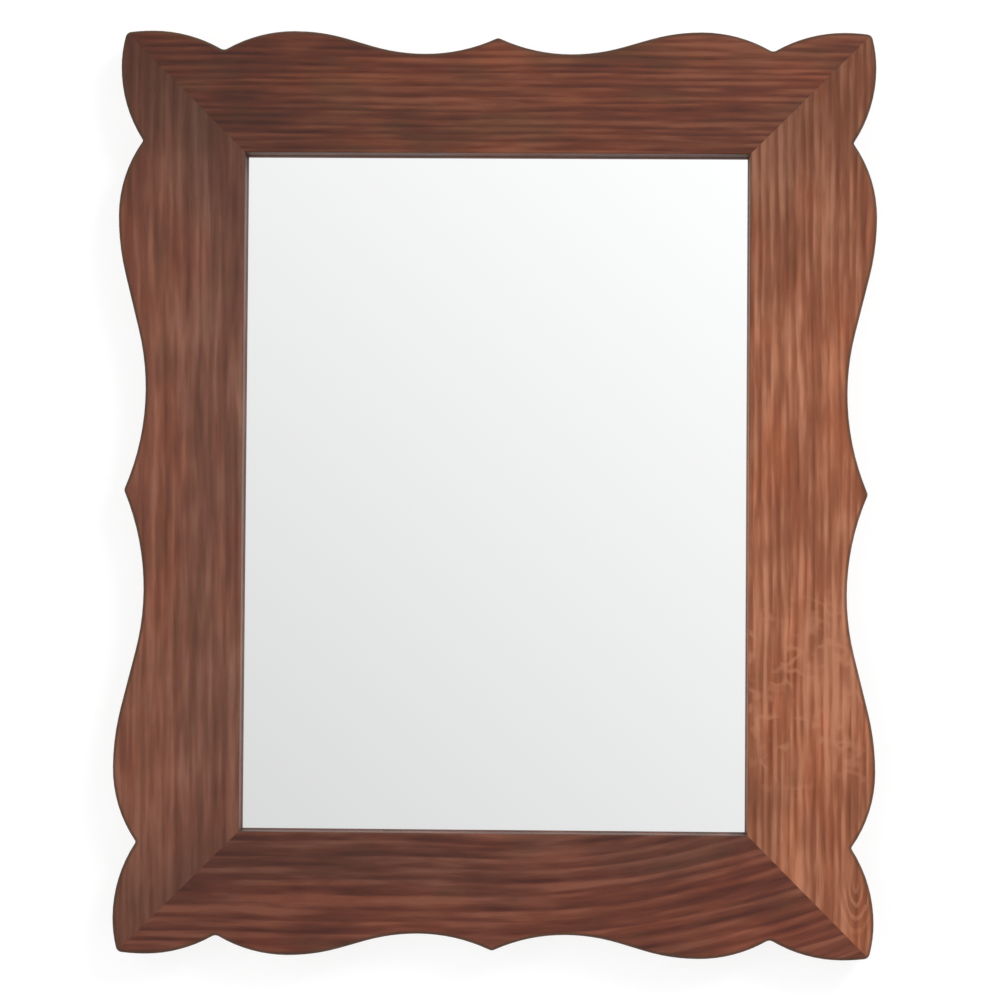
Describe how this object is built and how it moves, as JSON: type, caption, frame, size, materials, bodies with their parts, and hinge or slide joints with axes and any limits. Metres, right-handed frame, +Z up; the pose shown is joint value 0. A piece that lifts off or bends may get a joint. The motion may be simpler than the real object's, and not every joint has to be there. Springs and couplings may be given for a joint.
{
  "type": "framed wall mirror",
  "caption": "Upright rectangular wall mirror in a mitred wooden frame with a scalloped outer edge, turn buttons behind and D-ring hangers.",
  "frame": {"origin": "middle of the mirror, on the plane of the wall that the pads bear on", "axes": "+Z up along the frame's long side, +X to the viewer's right, +Y from the glass back to the wall"},
  "size_m": [0.443, 0.0235, 0.5392],
  "materials": {
    "frame_wood": "reddish-brown stained oak with open grain, satin",
    "biscuit_wood": "pressed beech, raw",
    "mirror_glass": "silvered float glass, polished",
    "block_rubber": "black rubber, matt",
    "card": "grey card, matt",
    "hardboard": "brown hardboard, smooth side out",
    "plated_steel": "zinc-plated steel, satin",
    "pad_rubber": "dark soft rubber, matt"
  },
  "bodies": {
    "root": {"top_rail": "frame_wood", "bottom_rail": "frame_wood", "left_stile": "frame_wood", "right_stile": "frame_wood", "biscuit_top_left": "biscuit_wood", "biscuit_top_right": "biscuit_wood", "biscuit_bottom_left": "biscuit_wood", "biscuit_bottom_right": "biscuit_wood", "mirror_glass": "mirror_glass", "setting_blocks": "block_rubber", "card_sheet": "card", "backing_board": "hardboard", "button_screws": "plated_steel", "hanger_screws": "plated_steel", "hanger_strap_left": "plated_steel", "hanger_strap_right": "plated_steel", "wall_pad_left": "pad_rubber", "wall_pad_right": "pad_rubber"},
    "button_top_left": {"turn_button_top_left": "plated_steel"},
    "button_top_right": {"turn_button_top_right": "plated_steel"},
    "button_bottom_left": {"turn_button_bottom_left": "plated_steel"},
    "button_bottom_right": {"turn_button_bottom_right": "plated_steel"},
    "button_left_top": {"turn_button_left_top": "plated_steel"},
    "button_left_bottom": {"turn_button_left_bottom": "plated_steel"},
    "button_right_top": {"turn_button_right_top": "plated_steel"},
    "button_right_bottom": {"turn_button_right_bottom": "plated_steel"},
    "ring_left": {"hanger_ring_left": "plated_steel"},
    "ring_right": {"hanger_ring_right": "plated_steel"}
  },
  "joints": [
    {"name": "button_top_left_turn", "type": "hinge", "parent": "root", "child": "button_top_left", "pos_m": [-0.08, -0.0039, 0.213], "axis": [0, 1, 0], "continuous": true},
    {"name": "button_top_right_turn", "type": "hinge", "parent": "root", "child": "button_top_right", "pos_m": [0.08, -0.0039, 0.213], "axis": [0, 1, 0], "continuous": true},
    {"name": "button_bottom_left_turn", "type": "hinge", "parent": "root", "child": "button_bottom_left", "pos_m": [-0.08, -0.0039, -0.213], "axis": [0, 1, 0], "continuous": true},
    {"name": "button_bottom_right_turn", "type": "hinge", "parent": "root", "child": "button_bottom_right", "pos_m": [0.08, -0.0039, -0.213], "axis": [0, 1, 0], "continuous": true},
    {"name": "button_left_top_turn", "type": "hinge", "parent": "root", "child": "button_left_top", "pos_m": [-0.1625, -0.0039, 0.11], "axis": [0, 1, 0], "continuous": true},
    {"name": "button_left_bottom_turn", "type": "hinge", "parent": "root", "child": "button_left_bottom", "pos_m": [-0.1625, -0.0039, -0.11], "axis": [0, 1, 0], "continuous": true},
    {"name": "button_right_top_turn", "type": "hinge", "parent": "root", "child": "button_right_top", "pos_m": [0.1625, -0.0039, 0.11], "axis": [0, 1, 0], "continuous": true},
    {"name": "button_right_bottom_turn", "type": "hinge", "parent": "root", "child": "button_right_bottom", "pos_m": [0.1625, -0.0039, -0.11], "axis": [0, 1, 0], "continuous": true},
    {"name": "ring_left_swing", "type": "hinge", "parent": "root", "child": "ring_left", "pos_m": [-0.19, -0.00232, 0.135], "axis": [-1, 0, 0], "range_deg": [0, 178]},
    {"name": "ring_right_swing", "type": "hinge", "parent": "root", "child": "ring_right", "pos_m": [0.19, -0.00232, 0.135], "axis": [-1, 0, 0], "range_deg": [0, 178]}
  ]
}
